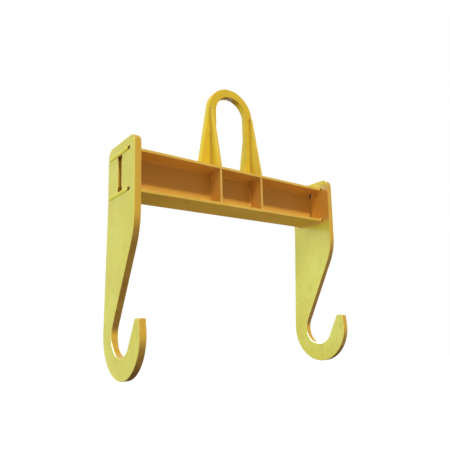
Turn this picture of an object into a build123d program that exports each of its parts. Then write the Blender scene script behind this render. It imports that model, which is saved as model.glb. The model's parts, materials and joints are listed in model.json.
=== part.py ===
"""Roll lifting beam: a wide-flange beam with a hook plate at each end and a bail for the crane hook.

Millimetres. X runs along the beam, the hooks open towards -Y, Z is up.
The origin is the middle of the bail's seat, where the crane hook bears.
"""
import os
from math import atan2, cos, degrees, hypot, radians, sin, sqrt, tan

from build123d import *

# Rolled wide-flange beam
BEAM_DEPTH = 200
BEAM_WIDTH = 200
FLANGE = 12
WEB = 8
ROOT_RADIUS = 13

# Clear distance between the two hook plates
CLEAR_SPAN = 1190

# Hook plates: places are measured from the beam's own centre line
PLATE = 32
PLATE_FRONT = 157
PLATE_REAR = 135
PLATE_RISE = 47
PLATE_CORNER = 45
REAR_DROP = 55
REAR_BLEND = 500
FRONT_BLEND = 300
EDGE_BREAK = 2

# Hook: a round saddle at the foot of a leaning slot
SADDLE_DROP = 722
SADDLE_FORWARD = 27
SADDLE_RADIUS = 94
HOOK_RIM = 96
SLOT_LEAN = 28
TIP_RISE = 69
TIP_LEAN = 7
TIP_CORNER = 10

# Crescent bevel on both rims of the saddle, deepest where BEVEL_TURN (in degrees) points
BEVEL_WIDTH = 9
BEVEL_DEPTH = 3
BEVEL_SHIFT = 32
BEVEL_TURN = -43

# Joint between beam and hook plate: the flanges pass through as tenons
SLOT_CLEARANCE = 1
RELIEF_RADIUS = 9
WEB_SLOT = 36
DOGBONE_MARGIN = 7
TENON_SETBACK = 4
TENON_CLIP = 14
WEB_TENON = 20

# Bail
BAIL = 36
BAIL_RADIUS = 99
BAIL_DEPTH = 48
BAIL_CLEARANCE = 441
FOOT_REACH = 208
FOOT_FLARE = 40
FOOT_FLARE_HEIGHT = 125
BAIL_BREAK = 3

# Ribs: web stiffeners below the top flange, gussets above it, in the same planes
RIB_OFFSET = 133
RIB = 12
RIB_SETBACK = 2
SNIPE = 22
GUSSET_HEIGHT = 345
GUSSET_NOSE = 12
GUSSET_TOE = 12

# Weld beads
RIB_BEAD = 6
FOOT_BEAD = 9
PLATE_BEAD = 8
GROOVE_LAP = 2
GROOVE_CROWN = 5
GROOVE_RUN = 14
BEAD_CROWN = 0.58
BEAD_END = 2

# Levels and places that follow from the sizes above
TOP_FACE = -BAIL_CLEARANCE
BEAM_Z = TOP_FACE - BEAM_DEPTH / 2
INNER_HALF = BEAM_DEPTH / 2 - FLANGE
FLANGE_Z = BEAM_DEPTH / 2 - FLANGE / 2
PLATE_X = CLEAR_SPAN / 2
HOOK_RADIUS = SADDLE_RADIUS + HOOK_RIM
DOGBONE_RADIUS = ROOT_RADIUS + WEB / 2 + DOGBONE_MARGIN
RIB_WIDTH = BEAM_WIDTH / 2 - RIB_SETBACK
BAIL_FACE = BAIL / 2

SIDES = (("left", -1), ("right", 1))
FACES = (("front", -1), ("rear", 1))


def tangent_point(start, centre, radius, turn):
    """Point where a line from start touches a circle, on the side that turn (1 or -1) picks."""
    reach = hypot(start[0] - centre[0], start[1] - centre[1])
    bearing = degrees(atan2(start[1] - centre[1], start[0] - centre[0]))
    swing = degrees(atan2(sqrt(reach**2 - radius**2), radius))
    return polar(centre, radius, bearing + turn * swing)


def polar(centre, radius, angle):
    """Point at an angle in degrees on a circle."""
    turn = radians(angle)
    return (centre[0] + radius * cos(turn), centre[1] + radius * sin(turn))


def bead(start, end, leg, first, second):
    """Fillet weld bead from start to end, in the corner between two directions."""
    start, end = Vector(*start), Vector(*end)
    first, second = Vector(*first), Vector(*second)
    toe, top = start + first * leg, start + second * leg
    crown = start + (first + second) * (leg * BEAD_CROWN)
    profile = Wire([Line(start, toe), ThreePointArc(toe, crown, top), Line(top, start)])
    return Solid.extrude(Face(profile), end - start)


def to_side(shape, side, face=-1):
    """Copy a shape made at the front right to another side or face."""
    if side < 0:
        shape = mirror(shape, about=Plane.YZ)
    if face > 0:
        shape = mirror(shape, about=Plane.XZ)
    return shape


def save(name, shape):
    """Write one named piece."""
    export_step(shape, f"parts/{name}.step")


def make_beam():
    """Rolled beam whose flanges run into the hook plates, with the web cut shorter."""
    section = Rectangle(BEAM_WIDTH, BEAM_DEPTH)
    bay = Rectangle(BEAM_WIDTH / 2 - WEB / 2, 2 * INNER_HALF)
    for face in (-1, 1):
        hollow = Pos(face * (BEAM_WIDTH / 2 + WEB / 2) / 2, 0) * bay
        roots = hollow.vertices().filter_by(lambda v: abs(v.X) < BEAM_WIDTH / 4)
        section -= fillet(roots, ROOT_RADIUS)
    half = PLATE_X + PLATE - TENON_SETBACK
    beam = extrude(Plane.YZ * section, half, both=True)
    clipped = beam.edges().filter_by(Axis.Z).group_by(Axis.Y)[0]
    beam = chamfer(clipped, TENON_CLIP)
    web_end = PLATE_X + WEB_TENON
    for side in (-1, 1):
        cut = Box(half, BEAM_WIDTH, 2 * INNER_HALF)
        beam -= Pos(side * (web_end + half / 2), 0, 0) * cut
    return Pos(0, 0, BEAM_Z) * beam


def hook_outline():
    """Hook plate outline in Y and Z from the beam's centre, with its corners rounded."""
    top = BEAM_DEPTH / 2 + PLATE_RISE
    shoulder = -BEAM_DEPTH / 2 - REAR_DROP
    saddle = (-SADDLE_FORWARD, -SADDLE_DROP)
    lean = tan(radians(SLOT_LEAN))
    spine_foot = polar(saddle, SADDLE_RADIUS, SLOT_LEAN)
    tip_foot = polar(saddle, SADDLE_RADIUS, SLOT_LEAN + 180)
    spine_head = (-PLATE_FRONT, spine_foot[1] + (spine_foot[0] + PLATE_FRONT) / lean)
    tip_level = saddle[1] + TIP_RISE
    tip_back = (tip_foot[0] - (tip_level - tip_foot[1]) * lean, tip_level)
    tip_touch = polar(saddle, HOOK_RADIUS, 180 - TIP_LEAN)
    tip_rise = tip_level - tip_touch[1]
    tip_front = (tip_touch[0] + tip_rise * tan(radians(TIP_LEAN)), tip_level)
    rear_head = (PLATE_REAR, shoulder)
    rear_touch = tangent_point(rear_head, saddle, HOOK_RADIUS, -1)
    bottom = polar(saddle, HOOK_RADIUS, 270)
    seat = polar(saddle, SADDLE_RADIUS, SLOT_LEAN - 90)
    outline = make_face(
        Polyline(spine_foot, spine_head, (-PLATE_FRONT, top), (PLATE_REAR, top), rear_head, rear_touch)
        + ThreePointArc(rear_touch, bottom, tip_touch)
        + Polyline(tip_touch, tip_front, tip_back, tip_foot)
        + ThreePointArc(tip_foot, seat, spine_foot)
    )
    rounding = (
        ((-PLATE_FRONT, top), PLATE_CORNER),
        ((PLATE_REAR, top), PLATE_CORNER),
        (rear_head, REAR_BLEND),
        (spine_head, FRONT_BLEND),
        (tip_front, TIP_CORNER),
        (tip_back, TIP_CORNER),
    )
    for place, radius in rounding:
        corner = outline.vertices().sort_by_distance((*place, 0))[0]
        outline = fillet(corner, radius)
    return outline


def beam_opening():
    """I-shaped opening that the beam's end passes through, with relief holes at the front."""
    slot = Rectangle(BEAM_WIDTH + 2 * SLOT_CLEARANCE, FLANGE + 2 * SLOT_CLEARANCE)
    relief = Pos(-BEAM_WIDTH / 2 + SLOT_CLEARANCE, 0) * Circle(RELIEF_RADIUS)
    dogbone_z = INNER_HALF - DOGBONE_RADIUS / 2
    opening = Rectangle(WEB_SLOT, 2 * dogbone_z)
    for level in (-1, 1):
        opening += Pos(0, level * FLANGE_Z) * (slot + relief)
        opening += Pos(0, level * dogbone_z) * Circle(DOGBONE_RADIUS)
    return opening


def make_hook_plate():
    """Right hook plate: rounded outline, bevelled saddle and the beam's opening."""
    inner_face = Plane.YZ.offset(PLATE_X) * Pos(0, BEAM_Z)
    plate = extrude(inner_face * hook_outline(), PLATE)
    rim = plate.edges().group_by(Axis.X)
    plate = chamfer(rim[0] + rim[-1], EDGE_BREAK)
    plate -= extrude(inner_face * beam_opening(), PLATE)
    centre = polar((-SADDLE_FORWARD, BEAM_Z - SADDLE_DROP), BEVEL_SHIFT, BEVEL_TURN)
    rim_radius = SADDLE_RADIUS + BEVEL_WIDTH - BEVEL_SHIFT
    bevel = Cone(rim_radius - 2 * BEVEL_WIDTH, rim_radius + 2 * BEVEL_WIDTH, 4 * BEVEL_DEPTH)
    for face, turn in ((PLATE_X, -90), (PLATE_X + PLATE, 90)):
        plate -= Pos(face, *centre) * Rot(0, turn, 0) * bevel
    return plate


def make_bail():
    """Bail plate: round arch on two legs that widen towards their feet."""
    centre = (0, -BAIL_RADIUS)
    rim = BAIL_RADIUS + BAIL_DEPTH
    flare_top = TOP_FACE + FOOT_FLARE_HEIGHT
    outline = ThreePointArc((-BAIL_RADIUS, centre[1]), (0, 0), (BAIL_RADIUS, centre[1]))
    touches = []
    for side in (-1, 1):
        toe = (side * FOOT_REACH, TOP_FACE)
        heel = (side * (BAIL_RADIUS - FOOT_FLARE), TOP_FACE)
        knee = (side * BAIL_RADIUS, flare_top)
        touch = tangent_point(toe, centre, rim, side)
        outline += Line((side * BAIL_RADIUS, centre[1]), knee)
        outline += TangentArc(knee, heel, tangent=(0, -1))
        outline += Polyline(heel, toe, touch)
        touches.append(touch)
    outline += ThreePointArc(touches[0], (0, BAIL_DEPTH), touches[1])
    bail = extrude(Plane.XZ * make_face(outline), BAIL / 2, both=True)
    rims = bail.edges().group_by(Axis.Y)
    broken = (rims[0] + rims[-1]).filter_by(lambda edge: edge.center().Z > TOP_FACE + BAIL_BREAK)
    return chamfer(broken, BAIL_BREAK)


def make_stiffener():
    """Front right stiffener: plate between the flanges with its inner corners sniped."""
    web_face, rim = -WEB / 2, -RIB_WIDTH
    outline = Polyline(
        (rim, -INNER_HALF),
        (web_face - SNIPE, -INNER_HALF),
        (web_face, -INNER_HALF + SNIPE),
        (web_face, INNER_HALF - SNIPE),
        (web_face - SNIPE, INNER_HALF),
        (rim, INNER_HALF),
        close=True,
    )
    plane = Plane.YZ.offset(RIB_OFFSET) * Pos(0, BEAM_Z)
    return extrude(plane * make_face(outline), RIB / 2, both=True)


def make_gusset():
    """Front right gusset: tall triangle between the bail's leg and the top flange."""
    outline = Polyline(
        (-BAIL_FACE - SNIPE, 0),
        (-BAIL_FACE, SNIPE),
        (-BAIL_FACE, GUSSET_HEIGHT),
        (-BAIL_FACE - GUSSET_NOSE, GUSSET_HEIGHT),
        (-RIB_WIDTH, GUSSET_TOE),
        (-RIB_WIDTH, 0),
        close=True,
    )
    plane = Plane.YZ.offset(RIB_OFFSET) * Pos(0, TOP_FACE)
    return extrude(plane * make_face(outline), RIB / 2, both=True)


def make_stiffener_welds():
    """Beads along the web and both flanges, on both sides of the front right stiffener."""
    beads = []
    inner, outer = -WEB / 2 - SNIPE - BEAD_END, -RIB_WIDTH + BEAD_END
    for side in (-1, 1):
        x = RIB_OFFSET + side * RIB / 2
        away = (side, 0, 0)
        low, high = BEAM_Z - INNER_HALF, BEAM_Z + INNER_HALF
        web_low, web_high = low + SNIPE + BEAD_END, high - SNIPE - BEAD_END
        beads.append(bead((x, -WEB / 2, web_low), (x, -WEB / 2, web_high), RIB_BEAD, away, (0, -1, 0)))
        beads.append(bead((x, inner, low), (x, outer, low), RIB_BEAD, away, (0, 0, 1)))
        beads.append(bead((x, inner, high), (x, outer, high), RIB_BEAD, away, (0, 0, -1)))
    return Compound(beads)


def make_gusset_welds():
    """Beads beside the front right gusset along the flange and the bail's leg, and one over its nose."""
    beads = []
    inner, outer = -BAIL_FACE - SNIPE - BEAD_END, -RIB_WIDTH + BEAD_END
    low, high = TOP_FACE + SNIPE + BEAD_END, TOP_FACE + GUSSET_HEIGHT - BEAD_END
    for side in (-1, 1):
        x = RIB_OFFSET + side * RIB / 2
        away = (side, 0, 0)
        beads.append(bead((x, inner, TOP_FACE), (x, outer, TOP_FACE), RIB_BEAD, away, (0, 0, 1)))
        beads.append(bead((x, -BAIL_FACE, low), (x, -BAIL_FACE, high), RIB_BEAD, away, (0, -1, 0)))
    half, nose = RIB / 2 + RIB_BEAD - BEAD_END, TOP_FACE + GUSSET_HEIGHT
    first, last = (RIB_OFFSET - half, -BAIL_FACE, nose), (RIB_OFFSET + half, -BAIL_FACE, nose)
    beads.append(bead(first, last, GUSSET_NOSE, (0, -1, 0), (0, 0, 1)))
    return Compound(beads)


def make_foot_weld(bail):
    """Bead all round the right foot of the bail."""
    heel = BAIL_RADIUS - FOOT_FLARE
    length, middle = FOOT_REACH - heel, (FOOT_REACH + heel) / 2
    base = Pos(middle, 0, TOP_FACE) * Rectangle(length + 2 * FOOT_BEAD, BAIL + 2 * FOOT_BEAD)
    return extrude(base, FOOT_BEAD, taper=45) - bail


def make_inner_plate_welds():
    """Beads where the flanges meet the inner face of the right hook plate."""
    beads = []
    end = BEAM_WIDTH / 2 - BEAD_END
    start = DOGBONE_RADIUS + BEAD_END
    toward_middle = (-1, 0, 0)
    for level in (-1, 1):
        outside = BEAM_Z + level * BEAM_DEPTH / 2
        inside = BEAM_Z + level * INNER_HALF
        first, last = (PLATE_X, -end, outside), (PLATE_X, end, outside)
        beads.append(bead(first, last, PLATE_BEAD, toward_middle, (0, 0, level)))
        for face in (-1, 1):
            first, last = (PLATE_X, face * start, inside), (PLATE_X, face * end, inside)
            beads.append(bead(first, last, PLATE_BEAD, toward_middle, (0, 0, -level)))
    return Compound(beads)


def make_outer_plate_welds():
    """Groove welds over the flange slots on the right plate's outer face, run on past the rear ends."""
    welds = []
    front, rear = TENON_CLIP - BEAM_WIDTH / 2, BEAM_WIDTH / 2 + SLOT_CLEARANCE
    half_slot = FLANGE / 2 + SLOT_CLEARANCE
    half_crown = half_slot + GROOVE_LAP
    outer = PLATE_X + PLATE
    for level in (-1, 1):
        z = BEAM_Z + level * FLANGE_Z
        filling = Box(TENON_SETBACK, rear - front, 2 * half_slot)
        plug = Pos(outer - TENON_SETBACK / 2, (front + rear) / 2, z) * filling
        low, high = Vector(outer, front, z - half_crown), Vector(outer, front, z + half_crown)
        crest = Vector(outer + GROOVE_CROWN, front, z)
        profile = Face(Wire([Line(low, high), ThreePointArc(high, crest, low)]))
        crown = Solid.extrude(profile, Vector(0, rear + GROOVE_RUN - front, 0))
        welds.append(plug + crown)
    return Compound(welds)


def main():
    os.makedirs("parts", exist_ok=True)
    bail = make_bail()
    save("main_beam", make_beam())
    save("lifting_bail", bail)
    paired = {
        "hook_plate": make_hook_plate(),
        "bail_foot_weld": make_foot_weld(bail),
        "plate_inner_welds": make_inner_plate_welds(),
        "plate_outer_welds": make_outer_plate_welds(),
    }
    fourfold = {
        "stiffener": make_stiffener(),
        "stiffener_welds": make_stiffener_welds(),
        "gusset": make_gusset(),
        "gusset_welds": make_gusset_welds(),
    }
    for side_name, side in SIDES:
        for name, shape in paired.items():
            save(f"{side_name}_{name}", to_side(shape, side))
        for face_name, face in FACES:
            for name, shape in fourfold.items():
                save(f"{face_name}_{side_name}_{name}", to_side(shape, side, face))


main()
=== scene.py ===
"""Looks of the roll lifting beam: yellow enamel on rolled and flame-cut steel, with rippled weld beads."""
import json
import math
from functools import partial
from itertools import product

import bmesh
import bpy
from mathutils import Matrix, Vector, noise


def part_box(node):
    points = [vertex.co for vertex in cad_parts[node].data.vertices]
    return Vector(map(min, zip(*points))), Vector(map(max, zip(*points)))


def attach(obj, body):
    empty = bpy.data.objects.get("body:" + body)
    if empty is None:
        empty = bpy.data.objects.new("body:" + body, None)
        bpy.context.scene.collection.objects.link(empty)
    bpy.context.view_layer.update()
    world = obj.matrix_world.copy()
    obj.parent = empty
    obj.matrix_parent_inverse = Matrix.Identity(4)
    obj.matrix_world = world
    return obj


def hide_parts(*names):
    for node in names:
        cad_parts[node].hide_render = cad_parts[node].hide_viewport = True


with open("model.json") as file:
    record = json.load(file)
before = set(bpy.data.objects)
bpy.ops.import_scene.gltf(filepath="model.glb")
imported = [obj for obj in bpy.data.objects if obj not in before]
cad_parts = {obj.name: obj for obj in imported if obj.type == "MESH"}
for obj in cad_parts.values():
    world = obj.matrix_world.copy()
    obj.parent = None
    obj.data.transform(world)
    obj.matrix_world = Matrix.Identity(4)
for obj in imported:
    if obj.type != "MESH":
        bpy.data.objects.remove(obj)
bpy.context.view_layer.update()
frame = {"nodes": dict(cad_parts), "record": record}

# CAD model: its box, nodes and mounts, and the places that the paint follows, in metres
NODES = frame["nodes"]
MOUNTS = {mount["name"]: mount for mount in frame["record"]["mounts"]}
BEAM_LOW, BEAM_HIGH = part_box("main_beam")
BEAM_LEVEL = (BEAM_LOW.z + BEAM_HIGH.z) / 2
BEAM_HALF = (BEAM_HIGH.z - BEAM_LOW.z) / 2
PLATE_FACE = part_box("right_hook_plate")[0].x
MILLIMETRE = 0.001

# View: the photograph's camera, in pixels of its square image, millimetres of sensor, degrees and metres
IMAGE = 450
FOCAL = 457.4
PRINCIPAL = (243.6, 249.1)
SENSOR = 36.0
VIEW_AZIMUTH = -38.15
VIEW_ELEVATION = -9.0
VIEW_ROLL = -1.57
CAMERA_PLACE = Vector((-1.4235, -1.9063, -1.2184))

# Stage, in metres and linear colours
FLOOR_LEVEL = -2.7
FLOOR_SIZE = 30.0
FLOOR_DULL = (0.345, 0.295, 0.34, 1)
FLOOR_PALE = (0.2, 0.2, 0.2, 1)
FLOOR_GLOW = 0.85
AMBIENT = (1, 0.81, 0.79, 1)
AMBIENT_STRENGTH = 0.25
WHITE = (1, 1, 1, 1)
AIM = Vector((0, 0, -0.7))

# Paint, as linear colours: a set has a main, a paler and a deeper yellow
BEAM_YELLOWS = ((0.75, 0.495, 0.056, 1), (0.79, 0.555, 0.080, 1), (0.66, 0.405, 0.042, 1))
# Deeper orange yellows that paint in the shade and orange bounce light inside the beam's bays, on the
# stiffeners and on the beads there
BAY_SHADE_YELLOWS = ((0.73, 0.422, 0.076, 1), (0.77, 0.475, 0.105, 1), (0.64, 0.345, 0.056, 1))
# Lemon yellows of the hook plates and their groove beads: the golden paint with the greenish light from the
# left painted in
PLATE_GREEN_LIT_YELLOWS = ((0.712, 0.608, 0.069, 1), (0.752, 0.682, 0.099, 1), (0.622, 0.500, 0.051, 1))
BAIL_YELLOWS = ((0.76, 0.548, 0.036, 1), (0.80, 0.61, 0.050, 1), (0.66, 0.44, 0.028, 1))
# Darker yellows of the beads beside the gussets: painted shade of their crevices
SEAM_SHADE_YELLOWS = ((0.57, 0.385, 0.026, 1), (0.60, 0.43, 0.035, 1), (0.50, 0.31, 0.020, 1))
CUT_YELLOW = (0.72, 0.455, 0.055, 1)
# Deeper orange on a plate's inner face beside the beam: painted shade and orange bounce light from the beam
INNER_SHADE_ORANGE = (0.82, 0.440, 0.080, 1)
TOP_YELLOW = (0.79, 0.62, 0.012, 1)
# Pale yellow of the painted highlights along sharp edges
EDGE_HIGHLIGHT = (0.86, 0.63, 0.18, 1)
# Dark brown of grime streaks, and of the painted shade in hollows
GRIME_AND_SHADE = (0.10, 0.065, 0.022, 1)
STEEL = (0.30, 0.28, 0.26, 1)
POLISHED = (0.55, 0.48, 0.42, 1)
# Dark brown of grease, and of the painted shade laid on with the grease masks
GREASE_AND_SHADE = (0.16, 0.075, 0.018, 1)
ENAMEL_IOR = 1.3

# Patterns in the paint: waves per metre, detail, roughness and, where it is uneven, stretch
BLOTCHES = {"scale": 3.5, "detail": 4.0, "roughness": 0.55}
CLOUDS = {"scale": 22.0, "detail": 5.0, "roughness": 0.6}
STREAKS = {"scale": 30.0, "detail": 4.0, "roughness": 0.6, "stretch": (1, 1, 0.06)}
CHIPS = {"scale": 140.0, "detail": 4.0, "roughness": 0.7}
GRAIN = {"scale": 420.0, "detail": 2.0, "roughness": 0.5}
DRAG_LINES = {"scale": 300.0, "detail": 2.0, "roughness": 0.5, "stretch": (0.05, 1, 1)}
SEAT_SCUFFS = {"scale": 260.0, "detail": 4.0, "roughness": 0.65, "stretch": (1, 0.25, 1)}
RIM_SCUFFS = {"scale": 90.0, "detail": 4.0, "roughness": 0.65}
SEED_STEPS = (3.1, 1.7, 2.3)

# Spans of those patterns over which a mask fades in, and how strong it gets
BLOTCH_SPAN = (0.38, 0.66)
CLOUD_SPAN = (0.5, 0.75)
CLOUD_SHARES = (0.0, 0.5)
STREAK_SPAN = (0.58, 0.8)
STREAK_SHARES = (0.0, 0.16)
CHIP_SPAN = (0.60, 0.68)
SEAT_SCUFF_SPAN = (0.4, 0.58)
RIM_SCUFF_SPAN = (0.28, 0.42)
PATCHY_SPAN = (0.3, 0.7)
PATCHY_SHARES = (0.8, 1.1)
COAT_SHARE = 0.9

# Gloss: roughness in and out of the clouds, and what overspray and scuffs add to it
GLOSS_SPAN = (0.25, 0.75)
GLOSS = (0.16, 0.26)
OVERSPRAY_FACING = (-0.25, -0.85)
OVERSPRAY = (0.0, 0.6)
SCUFF_ROUGHNESS = 0.25

# Small depths and reaches of the paint, its chips, its painted edge highlights and its painted shade in
# hollows, in metres
PEEL = 0.00012
BEAD_PEEL = 0.00006
DRAG_DEPTH = 0.0004
CHIP_DEPTH = 0.0003
CHIP_REACH = 0.0025
HIGHLIGHT_REACH = 0.0025
PLATE_HIGHLIGHT_REACH = 0.0035
WIDE_HIGHLIGHT_REACH = 0.007
HOLLOW_REACH = 0.03

# Where coats of other tones, some of them painted light and shade, start and where they are full, in metres
COAT_FADE = 0.04
INNER_SPAN = (PLATE_FACE + 0.009, PLATE_FACE + 0.002)
ABOVE_BEAM = (BEAM_HIGH.z - 0.019, 0.0)
BESIDE_BEAM = (BEAM_LOW.z - 0.029, BEAM_HIGH.z + 0.026)
BAY_SHADE_SPAN = (BEAM_HALF - 0.009, BEAM_HALF - 0.0115)

# Where grease, painted shade and rubbing start and where they are full, in metres
SLOT_SIDE = (0.035, 0.03)
SLOT_HEIGHT = (BEAM_HALF - 0.005, BEAM_HALF - 0.01)
SLOT_WIDE_END = (0.064, 0.074)
BEAM_END = (PLATE_FACE - 0.001, PLATE_FACE + 0.005)
BEAM_END_HEIGHT = (BEAM_HIGH.z - 0.054, BEAM_HIGH.z - 0.029)
BEAM_UNDERSIDE = (BEAM_LOW.z + 0.01, BEAM_LOW.z + 0.005)
BEAM_UNDER_SHADE_SPAN = (-0.25, -0.5)
ARCH_INSIDE = (-0.04, -0.08)
SEAT_GREASE_SHADE_REACH = (0.09, 0.04)
SEAT_RUB_REACH = (0.03, 0.012)
SADDLE_RIM = (0.0085, 0.0055)

# Shares of grease and painted shade where they start and where they are full
SLOT_SHARES = (0.2, 0.8)
LEDGE_FILM = (0.0, 0.25)
HANGING_SHADE = (0.0, 0.61)
UNDER_SHADE = (0.0, 0.3)
LEFT_END_SHARES = (0.0, 0.3)
RIGHT_END_SHARES = (0.0, 0.95)
BEAM_UNDER_SHADE = (0.08, 0.27)
SEAT_SHARES = (0.0, 0.6)
ARCH_SHADE = (0.0, 0.14)

# Ways that a surface faces where masks start and where they are full: 1 is along an axis, -1 against it
CUT_FACING = (0.6, 0.3)
LEDGE_FACING = (-0.05, 0.3)
HANGING_FACING = (0.06, -0.36)
UNDER_FACING = (-0.5, -0.9)
SEAT_FACING = (-0.3, -0.7)
RUB_FACING = (-0.4, -0.8)
BEVEL_FACING = (0.90, 0.95)
BEVEL_END_FACING = (0.995, 0.985)

# Feelers for edges and hollows: rays for each look, cosine of an edge's turn, and share of open sky
FEELER_SAMPLES = 4
EDGE_TURN = (0.995, 0.86)
HIDDEN_SPAN = (0.75, 0.25)

# Weld beads: lengths in metres, waves and rises per metre, and shares of a bead's size or of a ripple
RIPPLE_PITCH = 0.0042
RIPPLE_HEIGHT = 0.09
RIPPLE_BOW = 0.45
RIPPLE_SKEW = 0.6
STATIONS_PER_RIPPLE = 4
FEWEST_STATIONS = 8
CORNER_STEPS = 5
WANDER = 0.35
WANDER_WAVES = 60
WANDER_ROW = 0.5
SWELL = 0.7
SWELL_WAVES = 25
SWELL_ROW = 3.7
FILLET_DIP = 0.18
LEAN_REACH = 0.012
BEAD_SINK = 0.0003
END_HEIGHT = 0.45
END_RISE = 90
FILLET_POINTS = 8
GROOVE_POINTS = 11
FOOT_SEED = 11

# Softened edges, in metres and radians
BEAM_EDGE = 0.0026
CUT_EDGE = 0.0012
PLATE_EDGE = 0.0009
EDGE_SEGMENTS = 2
AREA_WEIGHT = 100
WELD_DISTANCE = 0.00002
FLAT_ANGLE = math.radians(0.4)
SHARP_ANGLE = math.radians(28)


def add(tree, kind, inputs=None, **settings):
    """New node with its settings, and with values or other nodes' sockets on its inputs."""
    node = tree.nodes.new(kind)
    for name, value in settings.items():
        setattr(node, name, value)
    for key, value in (inputs or {}).items():
        if isinstance(value, bpy.types.NodeSocket):
            tree.links.new(value, node.inputs[key])
        else:
            node.inputs[key].default_value = value
    return node


def new_material(name):
    """Empty node material, its tree and its output node."""
    material = bpy.data.materials.new(name)
    material.use_nodes = True
    tree = material.node_tree
    tree.nodes.clear()
    return material, tree, tree.nodes.new("ShaderNodeOutputMaterial")


def math_node(tree, operation, first, second=0.0):
    """Socket of a two-value maths node."""
    return add(tree, "ShaderNodeMath", {0: first, 1: second}, operation=operation).outputs[0]


def times(tree, first, *others):
    """Socket of the product of some values."""
    for other in others:
        first = math_node(tree, "MULTIPLY", first, other)
    return first


def total(tree, first, *others):
    """Socket of the sum of some values."""
    for other in others:
        first = math_node(tree, "ADD", first, other)
    return first


def away(tree, value, middle=0.0):
    """Socket of how far a value is from a middle one."""
    return math_node(tree, "ABSOLUTE", math_node(tree, "SUBTRACT", value, middle))


def vector_node(tree, operation, first, second=(0, 0, 0)):
    """Outputs of a vector maths node."""
    return add(tree, "ShaderNodeVectorMath", {0: first, 1: second}, operation=operation).outputs


def split(tree, vector):
    """Sockets X, Y and Z of a vector."""
    return add(tree, "ShaderNodeSeparateXYZ", {0: vector}).outputs


def ramp(tree, value, span, results=(0.0, 1.0)):
    """Socket that goes smoothly from one result to the other while a value crosses a span."""
    ends = {"From Min": span[0], "From Max": span[1], "To Min": results[0], "To Max": results[1]}
    made = add(tree, "ShaderNodeMapRange", {"Value": value} | ends, interpolation_type="SMOOTHSTEP")
    return made.outputs[0]


def noise_at(tree, place, scale, detail, roughness, stretch=(1, 1, 1), offset=(0, 0, 0)):
    """Noise value at a place, in waves per metre."""
    moved = add(tree, "ShaderNodeMapping", {"Vector": place, "Scale": stretch, "Location": offset})
    settings = {"Vector": moved.outputs[0], "Scale": scale, "Detail": detail, "Roughness": roughness}
    return add(tree, "ShaderNodeTexNoise", settings).outputs["Fac"]


def mix(tree, share, first, second):
    """Colour socket between two colours, whose places on the node are 6, 7 and, for the result, 2."""
    return add(tree, "ShaderNodeMix", {0: share, 6: first, 7: second}, data_type="RGBA").outputs[2]


def bump(tree, height, distance, normal=None):
    """Normal socket raised by a height, on top of another normal if there is one."""
    settings = {"Height": height, "Distance": distance}
    if normal is not None:
        settings["Normal"] = normal
    return add(tree, "ShaderNodeBump", settings).outputs[0]


def true_normal(tree):
    """Socket of the surface's own normal, without bumps and smooth shading."""
    return add(tree, "ShaderNodeNewGeometry").outputs["True Normal"]


def edge_mask(tree, radius):
    """One along sharp edges, falling to nought within a radius."""
    rounded = add(tree, "ShaderNodeBevel", {"Radius": radius}, samples=FEELER_SAMPLES).outputs[0]
    along = vector_node(tree, "DOT_PRODUCT", rounded, true_normal(tree))["Value"]
    return ramp(tree, along, EDGE_TURN)


def seat_rub(mount):
    """Maker of the mask for the bail's seat: faces that look down, near the top of the arch."""
    def mask(tree, place, facing):
        apart = vector_node(tree, "DISTANCE", place, Vector(mount["pos_m"]))["Value"]
        near = ramp(tree, apart, SEAT_RUB_REACH)
        scuffs = ramp(tree, noise_at(tree, place, **SEAT_SCUFFS), SEAT_SCUFF_SPAN)
        under = ramp(tree, facing["Z"], RUB_FACING)
        return times(tree, near, scuffs, under)
    return mask


def saddle_rub(mount):
    """Maker of the mask for the bevel on a saddle's rims, which the rolls' journals polish."""
    radius = mount["dims"]["r_mm"] * MILLIMETRE
    rim_span = [radius + reach for reach in SADDLE_RIM]

    def mask(tree, place, facing):
        apart = vector_node(tree, "SUBTRACT", place, Vector(mount["pos_m"]))[0]
        across = vector_node(tree, "MULTIPLY", apart, (0, 1, 1))[0]
        near = ramp(tree, vector_node(tree, "LENGTH", across)["Value"], rim_span)
        slope = away(tree, split(tree, true_normal(tree))["X"])
        sloping = times(tree, ramp(tree, slope, BEVEL_FACING), ramp(tree, slope, BEVEL_END_FACING))
        scuffs = ramp(tree, noise_at(tree, place, **RIM_SCUFFS), RIM_SCUFF_SPAN)
        return times(tree, sloping, near, scuffs)
    return mask


def cut_mask(tree, place, facing):
    """One on a plate's cut edges, and nought on its flat faces."""
    return ramp(tree, away(tree, facing["X"]), CUT_FACING)


def inner_mask(low, high):
    """Maker of the mask for a plate's inner face between two levels."""
    def mask(tree, place, facing):
        at = split(tree, place)
        inner = ramp(tree, away(tree, at["X"]), INNER_SPAN)
        above = ramp(tree, at["Z"], (low, low + COAT_FADE))
        below = ramp(tree, at["Z"], (high, high - COAT_FADE))
        return times(tree, inner, above, below)
    return mask


def bay_shade_mask(tree, place, facing):
    """One inside the beam's bays, where their deeper orange painted shade goes, and nought on the outer
    faces of its flanges.
    """
    return ramp(tree, away(tree, split(tree, place)["Z"], BEAM_LEVEL), BAY_SHADE_SPAN)


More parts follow.
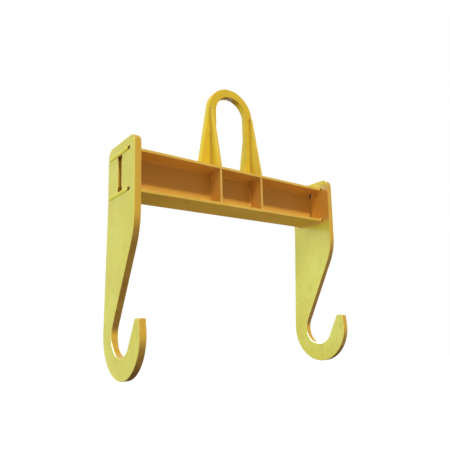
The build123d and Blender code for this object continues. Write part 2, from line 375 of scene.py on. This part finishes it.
def edge_grease_and_shade(tree, place, facing, cloud):
    """Share of grease and painted shade on a plate's cut edges: a grease film on ledges, and painted shade
    on edges that face down and in the web slot, darkest towards the slot's ends.
    """
    at = split(tree, place)
    from_middle = away(tree, at["Z"], BEAM_LEVEL)
    # Painted shade in the web slot, darker towards its ends
    beside_web = ramp(tree, away(tree, at["Y"]), SLOT_SIDE)
    between_flanges = ramp(tree, from_middle, SLOT_HEIGHT)
    slot = times(tree, beside_web, between_flanges, ramp(tree, from_middle, SLOT_WIDE_END, SLOT_SHARES))
    film_and_shade = ramp(tree, facing["Z"], LEDGE_FACING, LEDGE_FILM)
    # Painted shade on cut edges that face down, darkest underneath
    hanging = ramp(tree, facing["Z"], HANGING_FACING, HANGING_SHADE)
    under_shade = ramp(tree, facing["Z"], UNDER_FACING, UNDER_SHADE)
    share = math_node(tree, "MAXIMUM", total(tree, film_and_shade, hanging, under_shade), slot)
    return times(tree, share, cut_mask(tree, place, facing), ramp(tree, cloud, PATCHY_SPAN, PATCHY_SHARES))


def beam_shade(tree, place, facing, cloud):
    """Share of painted shade on the beam: on its ends inside the plates' openings, strongest high on the
    right end, and along its underside, deeper towards the left plate.
    """
    at = split(tree, place)
    # Painted shade on the beam's ends in the plates' openings, and a dark spot high on the right end
    left = ramp(tree, times(tree, at["X"], -1), BEAM_END, LEFT_END_SHARES)
    right = ramp(tree, at["X"], BEAM_END)
    high_right = times(tree, right, ramp(tree, at["Z"], BEAM_END_HEIGHT, RIGHT_END_SHARES))
    # Painted shade along the underside, deeper towards the left plate
    along = ramp(tree, at["X"], BEAM_UNDER_SHADE_SPAN, BEAM_UNDER_SHADE)
    film_and_shade = times(tree, along, ramp(tree, facing["Z"], UNDER_FACING), ramp(tree, at["Z"], BEAM_UNDERSIDE))
    return times(tree, total(tree, left, high_right, film_and_shade), ramp(tree, cloud, PATCHY_SPAN, PATCHY_SHARES))


def seat_grease_and_shade(mount):
    """Maker of the share of grease and painted shade on the bail: thick round the underside of its seat, and
    a painted shade down its inner faces.
    """
    def share(tree, place, facing, cloud):
        apart = vector_node(tree, "DISTANCE", place, Vector(mount["pos_m"]))["Value"]
        near = ramp(tree, apart, SEAT_GREASE_SHADE_REACH, SEAT_SHARES)
        thick = times(tree, near, ramp(tree, facing["Z"], SEAT_FACING))
        # Painted shade on the faces that look in towards the bail's middle
        inward = times(tree, split(tree, place)["X"], facing["X"])
        return total(tree, thick, ramp(tree, inward, ARCH_INSIDE, ARCH_SHADE))
    return share


def base_coat(tree, place, cloud, shift, tones, hollow_shade):
    """Colour of three yellows in blotches and clouds, with faint grime streaks, and with grime and painted
    shade darkening the hollows.
    """
    yellow, pale_yellow, deep_yellow = tones
    blotch = noise_at(tree, place, offset=shift, **BLOTCHES)
    streak = noise_at(tree, place, offset=shift, **STREAKS)
    colour = mix(tree, ramp(tree, blotch, BLOTCH_SPAN), yellow, pale_yellow)
    colour = mix(tree, ramp(tree, cloud, CLOUD_SPAN, CLOUD_SHARES), colour, deep_yellow)
    colour = mix(tree, ramp(tree, streak, STREAK_SPAN, STREAK_SHARES), colour, GRIME_AND_SHADE)
    # Painted shade with grime: darker where an ambient-occlusion feeler finds a hollow, in patches
    feeler = add(tree, "ShaderNodeAmbientOcclusion", {"Distance": HOLLOW_REACH}, samples=FEELER_SAMPLES)
    hollow = ramp(tree, feeler.outputs["AO"], HIDDEN_SPAN)
    grime_and_shade = times(tree, hollow, ramp(tree, cloud, PATCHY_SPAN), hollow_shade)
    return mix(tree, grime_and_shade, colour, GRIME_AND_SHADE)


def paint(name, seed, tones, coats=(), cut_edges=False, rub=None, grease_and_shade=None, peel=PEEL, matt=0.0,
          highlight_reach=HIGHLIGHT_REACH, highlight_share=0.6, hollow_shade=0.55):
    """Sprayed yellow enamel in three tones, with coats of other tones where their masks say.

    cut_edges adds a flame-cut grain, rub makes the mask of a polished place and grease_and_shade the share
    of grease and painted shade.
    peel is how deep the paint's own grain is, and matt how much rougher it is than gloss.
    highlight_reach is how far a painted highlight of paler yellow reaches from an edge, and highlight_share
    how pale it gets there.
    hollow_shade is how much grime and painted shade darken the hollows.
    """
    material, tree, output = new_material(name)
    place = add(tree, "ShaderNodeTexCoord").outputs["Object"]
    facing = split(tree, add(tree, "ShaderNodeNewGeometry").outputs["Normal"])
    shift = [seed * step for step in SEED_STEPS]
    cloud = noise_at(tree, place, offset=shift, **CLOUDS)
    colour = base_coat(tree, place, cloud, shift, tones, hollow_shade)
    for mask, tone in coats:
        colour = mix(tree, times(tree, mask(tree, place, facing), COAT_SHARE), colour, tone)
    # Grease in dark brown, with painted shade where its masks stand for shade
    if grease_and_shade is not None:
        colour = mix(tree, grease_and_shade(tree, place, facing, cloud), colour, GREASE_AND_SHADE)
    # Painted highlight: paler yellow along sharp edges
    colour = mix(tree, times(tree, edge_mask(tree, highlight_reach), highlight_share), colour, EDGE_HIGHLIGHT)
    chips = ramp(tree, noise_at(tree, place, offset=shift, **CHIPS), CHIP_SPAN)
    worn = times(tree, edge_mask(tree, CHIP_REACH), chips)
    colour = mix(tree, worn, colour, STEEL)
    gloss = ramp(tree, cloud, GLOSS_SPAN, [level + matt for level in GLOSS])
    roughness = total(tree, gloss, ramp(tree, facing["Z"], OVERSPRAY_FACING, OVERSPRAY))
    if rub is not None:
        polished = rub(tree, place, facing)
        colour = mix(tree, polished, colour, POLISHED)
        worn = math_node(tree, "MAXIMUM", worn, polished)
        roughness = total(tree, roughness, times(tree, polished, SCUFF_ROUGHNESS))
    normal = bump(tree, noise_at(tree, place, **GRAIN), peel)
    if cut_edges:
        drag = times(tree, noise_at(tree, place, **DRAG_LINES), cut_mask(tree, place, facing))
        normal = bump(tree, drag, DRAG_DEPTH, normal)
    normal = bump(tree, worn, CHIP_DEPTH, normal)
    settings = {"Base Color": colour, "Roughness": roughness, "Metallic": worn, "Normal": normal}
    shader = add(tree, "ShaderNodeBsdfPrincipled", settings | {"IOR": ENAMEL_IOR})
    tree.links.new(shader.outputs[0], output.inputs[0])
    return material


def beam_paint():
    """Golden paint of the beam, with painted shade: deeper orange in its bays, and dark brown on its ends in
    the plates and along its underside.
    """
    bay_shade = [(bay_shade_mask, BAY_SHADE_YELLOWS[0])]
    return paint("beam_enamel", 1, BEAM_YELLOWS, bay_shade, grease_and_shade=beam_shade,
                 matt=0.2, highlight_reach=WIDE_HIGHLIGHT_REACH, highlight_share=1.0, hollow_shade=1.0)


def bail_paint():
    """Golden paint of the bail, rubbed at its seat, with grease and painted shade round the seat and painted
    shade down its inner faces.
    """
    eye = MOUNTS["bail_eye"]
    return paint("bail_enamel", 3, BAIL_YELLOWS, rub=seat_rub(eye), grease_and_shade=seat_grease_and_shade(eye),
                 matt=0.2, hollow_shade=0.9)


def plate_paint(side):
    """Paint of a hook plate: lemon on its faces with the greenish light from the left painted in, a warmer
    yellow on its inner face above the beam, deeper orange painted shade beside the beam, and plain golden on
    its cut edges.
    """
    coats = [
        (inner_mask(*ABOVE_BEAM), TOP_YELLOW),
        # Painted shade and bounce light from the beam, in deeper orange beside it
        (inner_mask(*BESIDE_BEAM), INNER_SHADE_ORANGE),
        (cut_mask, CUT_YELLOW),
    ]
    rub = saddle_rub(MOUNTS[f"{side}_saddle"])
    return paint(f"{side}_plate_enamel", 5, PLATE_GREEN_LIT_YELLOWS, coats, cut_edges=True, rub=rub,
                 grease_and_shade=edge_grease_and_shade, highlight_reach=PLATE_HIGHLIGHT_REACH, highlight_share=0.8, hollow_shade=1.3)


def bead_paint(name, seed, tones, hollow_shade):
    """Paint of weld beads, with a fine grain and little gloss."""
    return paint(name, seed, tones, peel=BEAD_PEEL, matt=0.3, hollow_shade=hollow_shade)


def soften(node, width):
    """Round a CAD node's sharp edges by modifiers, which leave its own mesh as it is."""
    smooth = node.modifiers.new("smooth", "NODES")
    smooth.node_group = bpy.data.node_groups.get("smooth_shading") or smooth_group()
    weld = node.modifiers.new("weld", "WELD")
    weld.merge_threshold = WELD_DISTANCE
    flat = node.modifiers.new("flat", "DECIMATE")
    flat.decimate_type = "DISSOLVE"
    flat.angle_limit = FLAT_ANGLE
    bevel = node.modifiers.new("bevel", "BEVEL")
    bevel.width = width
    bevel.segments = EDGE_SEGMENTS
    bevel.limit_method = "ANGLE"
    bevel.angle_limit = SHARP_ANGLE
    bevel.use_clamp_overlap = True
    even = node.modifiers.new("normals", "WEIGHTED_NORMAL")
    even.weight = AREA_WEIGHT
    even.keep_sharp = False


def smooth_group():
    """Geometry nodes that drop the loaded normals and shade every face smooth."""
    tree = bpy.data.node_groups.new("smooth_shading", "GeometryNodeTree")
    for direction in ("INPUT", "OUTPUT"):
        tree.interface.new_socket("Geometry", in_out=direction, socket_type="NodeSocketGeometry")
    start = tree.nodes.new("NodeGroupInput")
    end = tree.nodes.new("NodeGroupOutput")
    settings = {"Mesh": start.outputs[0], "Remove Custom": True}
    plain = add(tree, "GeometryNodeSetMeshNormal", settings, mode="SHARPNESS")
    edges = add(tree, "GeometryNodeSetShadeSmooth", {0: plain.outputs[0]}, domain="EDGE")
    faces = add(tree, "GeometryNodeSetShadeSmooth", {0: edges.outputs[0]}, domain="FACE")
    tree.links.new(faces.outputs[0], end.inputs[0])
    return tree


def islands(node):
    """Lists of corner points, one for each separate bead of a weld node."""
    work = bmesh.new()
    work.from_mesh(node.data)
    bmesh.ops.remove_doubles(work, verts=work.verts, dist=WELD_DISTANCE)
    waiting = set(work.verts)
    found = []
    while waiting:
        front = [waiting.pop()]
        group = []
        while front:
            vertex = front.pop()
            group.append(vertex.co.copy())
            near = {edge.other_vert(vertex) for edge in vertex.link_edges} & waiting
            waiting -= near
            front.extend(near)
        found.append(group)
    work.free()
    return found


def box_of(points):
    """Lowest and highest corner of some points."""
    low = Vector(min(p[axis] for p in points) for axis in range(3))
    high = Vector(max(p[axis] for p in points) for axis in range(3))
    return low, high


def unit(axis, sign=1):
    """Vector along one axis."""
    return Vector(sign if axis == a else 0 for a in range(3))


def fillet_line(points):
    """Start, end, leg and the two leg directions of a straight fillet bead, from its corner points.

    The bead's section is a right-angled triangle in the corner of a box, so the opposite corner is bare.
    """
    low, high = box_of(points)
    size = high - low
    along = max(range(3), key=lambda axis: size[axis])
    across = [axis for axis in range(3) if axis != along]

    def side(axis, sign):
        """Where one side of the box is on an axis."""
        return high[axis] if sign > 0 else low[axis]

    def bare(signs):
        """Whether none of the points is in the corner between two sides."""
        corner = [side(axis, sign) for axis, sign in zip(across, signs)]
        gaps = (sum(abs(p[axis] - place) for axis, place in zip(across, corner)) for p in points)
        return min(gaps) >= WELD_DISTANCE

    signs = next(signs for signs in product((-1, 1), repeat=2) if bare(signs))
    start, end = low.copy(), high.copy()
    for axis, sign in zip(across, signs):
        start[axis] = end[axis] = side(axis, -sign)
    first, second = (unit(axis, sign) for axis, sign in zip(across, signs))
    return start, end, size[across[0]], first, second


def straight_stations(start, end, first, second):
    """Places along a straight bead, each with its two directions and its distance from the start."""
    length = (end - start).length
    count = max(FEWEST_STATIONS, round(length / RIPPLE_PITCH * STATIONS_PER_RIPPLE))
    return [(start.lerp(end, i / count), first, second, length * i / count) for i in range(count + 1)]


def ring_stations(low, high, level, leans):
    """Places round a rectangle, with a turn at each corner. leans is how its low and high X ends lean."""
    places = ((low.x, low.y), (high.x, low.y), (high.x, high.y), (low.x, high.y))
    corners = [Vector((x, y, level)) for x, y in places]
    outward = [unit(1, -1), unit(0), unit(1), unit(0, -1)]
    up = unit(2)
    stations, travelled = [], 0.0
    for i, corner in enumerate(corners):
        following = (i + 1) % len(corners)
        side = straight_stations(corner, corners[following], outward[i], up)
        stations += [(place, out, rise, along + travelled) for place, out, rise, along in side]
        travelled += side[-1][3]
        for step in range(1, CORNER_STEPS):
            blend = outward[i].slerp(outward[following], step / CORNER_STEPS)
            further = travelled + step * RIPPLE_PITCH / STATIONS_PER_RIPPLE
            stations.append((corners[following], blend, up, further))
        travelled += RIPPLE_PITCH
    leaning = []
    for place, out, rise, along in stations:
        near_low = max(0.0, 1 - (place.x - low.x) / LEAN_REACH)
        near_high = max(0.0, 1 - (high.x - place.x) / LEAN_REACH)
        lean = unit(0) * (leans[0] * near_low + leans[1] * near_high)
        leaning.append((place, out, rise + lean, along))
    return leaning


def ripple(travelled, bow, seed):
    """Height factor of a bead's scales, with a steep front and a long back."""
    wander = noise.noise(Vector((travelled * WANDER_WAVES, seed, WANDER_ROW))) * WANDER
    phase = (travelled / RIPPLE_PITCH + wander - RIPPLE_BOW * bow) % 1.0
    scale = math.sin(math.pi * phase**RIPPLE_SKEW)
    swell = noise.noise(Vector((travelled * SWELL_WAVES, seed, SWELL_ROW))) * SWELL
    return 1 + RIPPLE_HEIGHT * (scale - 0.5 + swell)


def fillet_point(share, leg):
    """Point of a fillet bead's skin, as distances along its two legs."""
    angle = share * math.pi / 2
    reach = leg * (1 - FILLET_DIP * math.sin(2 * angle))
    return reach * math.cos(angle), reach * math.sin(angle)


def groove_point(share, half_width, crown):
    """Point of a groove weld's skin, as distances across and outward."""
    angle = share * math.pi
    return half_width * math.cos(angle), crown * math.sin(angle)


def sweep(work, stations, skin, points, seed, closed=False, root=True):
    """Add one rippled bead to a mesh: its skin at each station, closed underneath by a sunk root."""
    length = stations[-1][3]
    rings = []
    for place, first, second, travelled in stations:
        from_end = min(travelled, length - travelled)
        height = 1.0 if closed else min(1.0, END_HEIGHT + END_RISE * from_end)
        ring = []
        for j in range(points):
            share = j / (points - 1)
            bow = math.sin(math.pi * share)
            across, out = skin(share)
            factor = height * (1 + (ripple(travelled, bow, seed) - 1) * bow)
            ring.append(place + first * across * factor + second * out * factor)
        if root:
            ring.append(place - (first + second) * BEAD_SINK)
        rings.append([work.verts.new(point) for point in ring])
    count = len(rings[0])
    pairs = list(zip(rings, rings[1:]))
    if closed:
        pairs.append((rings[-1], rings[0]))
    for before, after in pairs:
        for j in range(count):
            k = (j + 1) % count
            work.faces.new((before[j], before[k], after[k], after[j]))
    if not closed:
        work.faces.new(rings[0])
        work.faces.new(rings[-1])


def finish_piece(work, name, material, replaced):
    """Turn a working mesh into a weld piece that stands for a CAD node."""
    bmesh.ops.recalc_face_normals(work, faces=work.faces)
    for face in work.faces:
        face.smooth = True
    mesh = bpy.data.meshes.new(name)
    work.to_mesh(mesh)
    work.free()
    mesh.materials.append(material)
    piece = bpy.data.objects.new(name, mesh)
    bpy.context.scene.collection.objects.link(piece)
    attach(piece, "root")
    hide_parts(replaced)


def make_fillet_welds(node_name, material):
    """Rippled fillet beads in place of a node of plain ones."""
    work = bmesh.new()
    beads = sorted(islands(NODES[node_name]), key=lambda points: tuple(box_of(points)[0]))
    for seed, points in enumerate(beads):
        start, end, leg, first, second = fillet_line(points)
        stations = straight_stations(start, end, first, second)
        sweep(work, stations, partial(fillet_point, leg=leg), FILLET_POINTS, seed)
    finish_piece(work, node_name.replace("_welds", "_beads"), material, node_name)


def make_foot_weld(side, material):
    """Bead all round one foot of the bail, whose ends lean as the leg does."""
    name = f"{side}_bail_foot_weld"
    low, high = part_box(name)
    leg = high.z - low.z
    inset = Vector((leg, leg, 0))
    top = [v.co for v in NODES[name].data.vertices if v.co.z > high.z - WELD_DISTANCE]
    half_plate = min(abs(p.y) for p in top)
    leg_ends = [p.x for p in top if abs(p.y) < half_plate + WELD_DISTANCE]
    leans = ((min(leg_ends) - low.x - leg) / leg, (max(leg_ends) - high.x + leg) / leg)
    work = bmesh.new()
    stations = ring_stations(low + inset, high - inset, low.z, leans)
    sweep(work, stations, partial(fillet_point, leg=leg), FILLET_POINTS, FOOT_SEED, closed=True)
    finish_piece(work, f"{side}_bail_foot_bead", material, name)


def make_groove_welds(side, material):
    """Proud groove welds over the flange slots on one hook plate's outer face."""
    name = f"{side}_plate_outer_welds"
    sign = -1 if side == "left" else 1
    plate_low, plate_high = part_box(f"{side}_hook_plate")
    face = plate_low.x if sign < 0 else plate_high.x
    work = bmesh.new()
    beads = sorted(islands(NODES[name]), key=lambda points: box_of(points)[0].z)
    for seed, points in enumerate(beads):
        low, high = box_of(points)
        middle = (low.z + high.z) / 2
        half = (high.z - low.z) / 2
        crown = max(abs(low.x), abs(high.x)) - abs(face)
        start, end = Vector((face, low.y, middle)), Vector((face, high.y, middle))
        stations = straight_stations(start, end, unit(2), unit(0, sign))
        skin = partial(groove_point, half_width=half, crown=crown)
        sweep(work, stations, skin, GROOVE_POINTS, seed, root=False)
    finish_piece(work, f"{side}_plate_outer_beads", material, name)


def dress_nodes():
    """Paint and soften the CAD nodes, and put rippled beads in place of the plain ones."""
    # Stiffeners take the bays' deeper orange painted shade
    ribs = paint("rib_enamel", 2, BAY_SHADE_YELLOWS, matt=0.3, highlight_reach=WIDE_HIGHLIGHT_REACH, highlight_share=1.0)
    gussets = paint("gusset_enamel", 6, BAIL_YELLOWS, matt=0.3, highlight_reach=WIDE_HIGHLIGHT_REACH, highlight_share=1.0, hollow_shade=0.9)
    # Beads in the bays and at the beam's ends take the bays' deeper orange painted shade
    bay_beads = bead_paint("bay_bead_enamel", 4, BAY_SHADE_YELLOWS, hollow_shade=1.6)
    end_beads = bead_paint("end_bead_enamel", 9, BAY_SHADE_YELLOWS, hollow_shade=0.3)
    foot_beads = bead_paint("foot_bead_enamel", 8, BAIL_YELLOWS, hollow_shade=1.6)
    # The gusset beads take the darker painted shade of the crevices beside the gussets
    gusset_beads = bead_paint("gusset_bead_enamel", 10, SEAM_SHADE_YELLOWS, hollow_shade=1.3)
    # Groove beads on the plates' outer faces take the plates' lemon tone with the greenish light painted in
    plate_beads = bead_paint("plate_bead_enamel", 7, PLATE_GREEN_LIT_YELLOWS, hollow_shade=1.6)
    dressed = {"main_beam": (beam_paint(), BEAM_EDGE), "lifting_bail": (bail_paint(), CUT_EDGE)}
    for side in ("left", "right"):
        dressed[f"{side}_hook_plate"] = (plate_paint(side), PLATE_EDGE)
        for face in ("front", "rear"):
            dressed[f"{face}_{side}_stiffener"] = (ribs, CUT_EDGE)
            dressed[f"{face}_{side}_gusset"] = (gussets, CUT_EDGE)
            make_fillet_welds(f"{face}_{side}_stiffener_welds", bay_beads)
            make_fillet_welds(f"{face}_{side}_gusset_welds", gusset_beads)
        make_fillet_welds(f"{side}_plate_inner_welds", end_beads)
        make_foot_weld(side, foot_beads)
        make_groove_welds(side, plate_beads)
    for name, (material, width) in dressed.items():
        NODES[name].data.materials[0] = material
        soften(NODES[name], width)


def seen_rays(tree):
    """One for rays from the camera, or mirrored or passed on to it."""
    path = add(tree, "ShaderNodeLightPath").outputs
    seen = math_node(tree, "MAXIMUM", path["Is Camera Ray"], path["Is Glossy Ray"])
    return math_node(tree, "MAXIMUM", seen, path["Is Transmission Ray"])


def make_floor():
    """Plain pale floor far below the hanging beam, which keeps its shadow."""
    bpy.ops.mesh.primitive_plane_add(size=FLOOR_SIZE, location=(0, 0, FLOOR_LEVEL))
    floor = bpy.context.object
    floor.name = "floor"
    material, tree, output = new_material("floor_white")
    dull = add(tree, "ShaderNodeBsdfDiffuse", {"Color": FLOOR_DULL}).outputs[0]
    pale = add(tree, "ShaderNodeBsdfDiffuse", {"Color": FLOOR_PALE}).outputs[0]
    glow = add(tree, "ShaderNodeEmission", {"Color": WHITE, "Strength": FLOOR_GLOW}).outputs[0]
    bright = add(tree, "ShaderNodeAddShader", {0: pale, 1: glow}).outputs[0]
    chosen = add(tree, "ShaderNodeMixShader", {0: seen_rays(tree), 1: dull, 2: bright}).outputs[0]
    tree.links.new(chosen, output.inputs[0])
    floor.data.materials.append(material)


def make_world():
    """White to the camera and in reflections, and a weak even light on the object."""
    world = bpy.data.worlds.new("studio")
    bpy.context.scene.world = world
    world.use_nodes = True
    tree = world.node_tree
    tree.nodes.clear()
    soft = add(tree, "ShaderNodeBackground", {"Color": AMBIENT, "Strength": AMBIENT_STRENGTH}).outputs[0]
    white = add(tree, "ShaderNodeBackground", {"Color": WHITE, "Strength": 1.0}).outputs[0]
    chosen = add(tree, "ShaderNodeMixShader", {0: seen_rays(tree), 1: soft, 2: white}).outputs[0]
    output = tree.nodes.new("ShaderNodeOutputWorld")
    tree.links.new(chosen, output.inputs[0])


def place_lamp(name, lamp, toward, distance=0.0):
    """Put a lamp some way off the object, in the direction that it shines from, and turn it to face it."""
    holder = bpy.data.objects.new(name, lamp)
    holder.location = AIM + Vector(toward).normalized() * distance
    holder.rotation_euler = Vector(toward).to_track_quat("Z", "Y").to_euler()
    bpy.context.scene.collection.objects.link(holder)


def sky_light(name, toward, spread, strength, colour):
    """Soft distant lamp: the direction it comes from, how many degrees wide it is, and its strength."""
    lamp = bpy.data.lights.new(name, "SUN")
    lamp.angle = math.radians(spread)
    lamp.energy = strength
    lamp.color = colour
    place_lamp(name, lamp, toward)


def panel(name, toward, distance, size, watts, colour):
    """Large square lamp, some way off the object and facing it."""
    lamp = bpy.data.lights.new(name, "AREA")
    lamp.size = size
    lamp.energy = watts
    lamp.color = colour
    place_lamp(name, lamp, toward, distance)


def make_lights():
    """Panel from the left rear, key from above in front, and fills from the left and the right rear."""
    panel("left_panel", toward=(-0.86, 0.50, 0.08), distance=13.0, size=8.7, watts=1225,
          colour=(0.725, 1.0, 0.82))
    sky_light("left_fill", toward=(-0.97, -0.20, 0.08), spread=30, strength=0.26, colour=(1.0, 0.85, 0.9))
    sky_light("front_key", toward=(-0.096, -0.608, 0.788), spread=6, strength=2.64, colour=(1.0, 0.94, 0.77))
    sky_light("rear_fill", toward=(0.86, 0.44, 0.25), spread=30, strength=1.9, colour=(1.0, 1.0, 1.0))


def make_camera():
    """Camera at the photograph's place, with its image shifted as there."""
    data = bpy.data.cameras.new("camera")
    data.sensor_width = SENSOR
    data.lens = SENSOR * FOCAL / IMAGE
    data.shift_x = (IMAGE / 2 - PRINCIPAL[0]) / IMAGE
    data.shift_y = (PRINCIPAL[1] - IMAGE / 2) / IMAGE
    azimuth, elevation = math.radians(VIEW_AZIMUTH), math.radians(VIEW_ELEVATION)
    level = math.cos(elevation)
    back = Vector((math.sin(azimuth) * level, -math.cos(azimuth) * level, math.sin(elevation)))
    turn = back.to_track_quat("Z", "Y").to_matrix().to_4x4()
    roll = Matrix.Rotation(math.radians(VIEW_ROLL), 4, "Z")
    camera = bpy.data.objects.new("camera", data)
    camera.matrix_world = Matrix.Translation(CAMERA_PLACE) @ turn @ roll
    bpy.context.scene.collection.objects.link(camera)
    bpy.context.scene.camera = camera


dress_nodes()
make_floor()
make_world()
make_lights()
make_camera()
bpy.context.scene.view_settings.view_transform = "Standard"
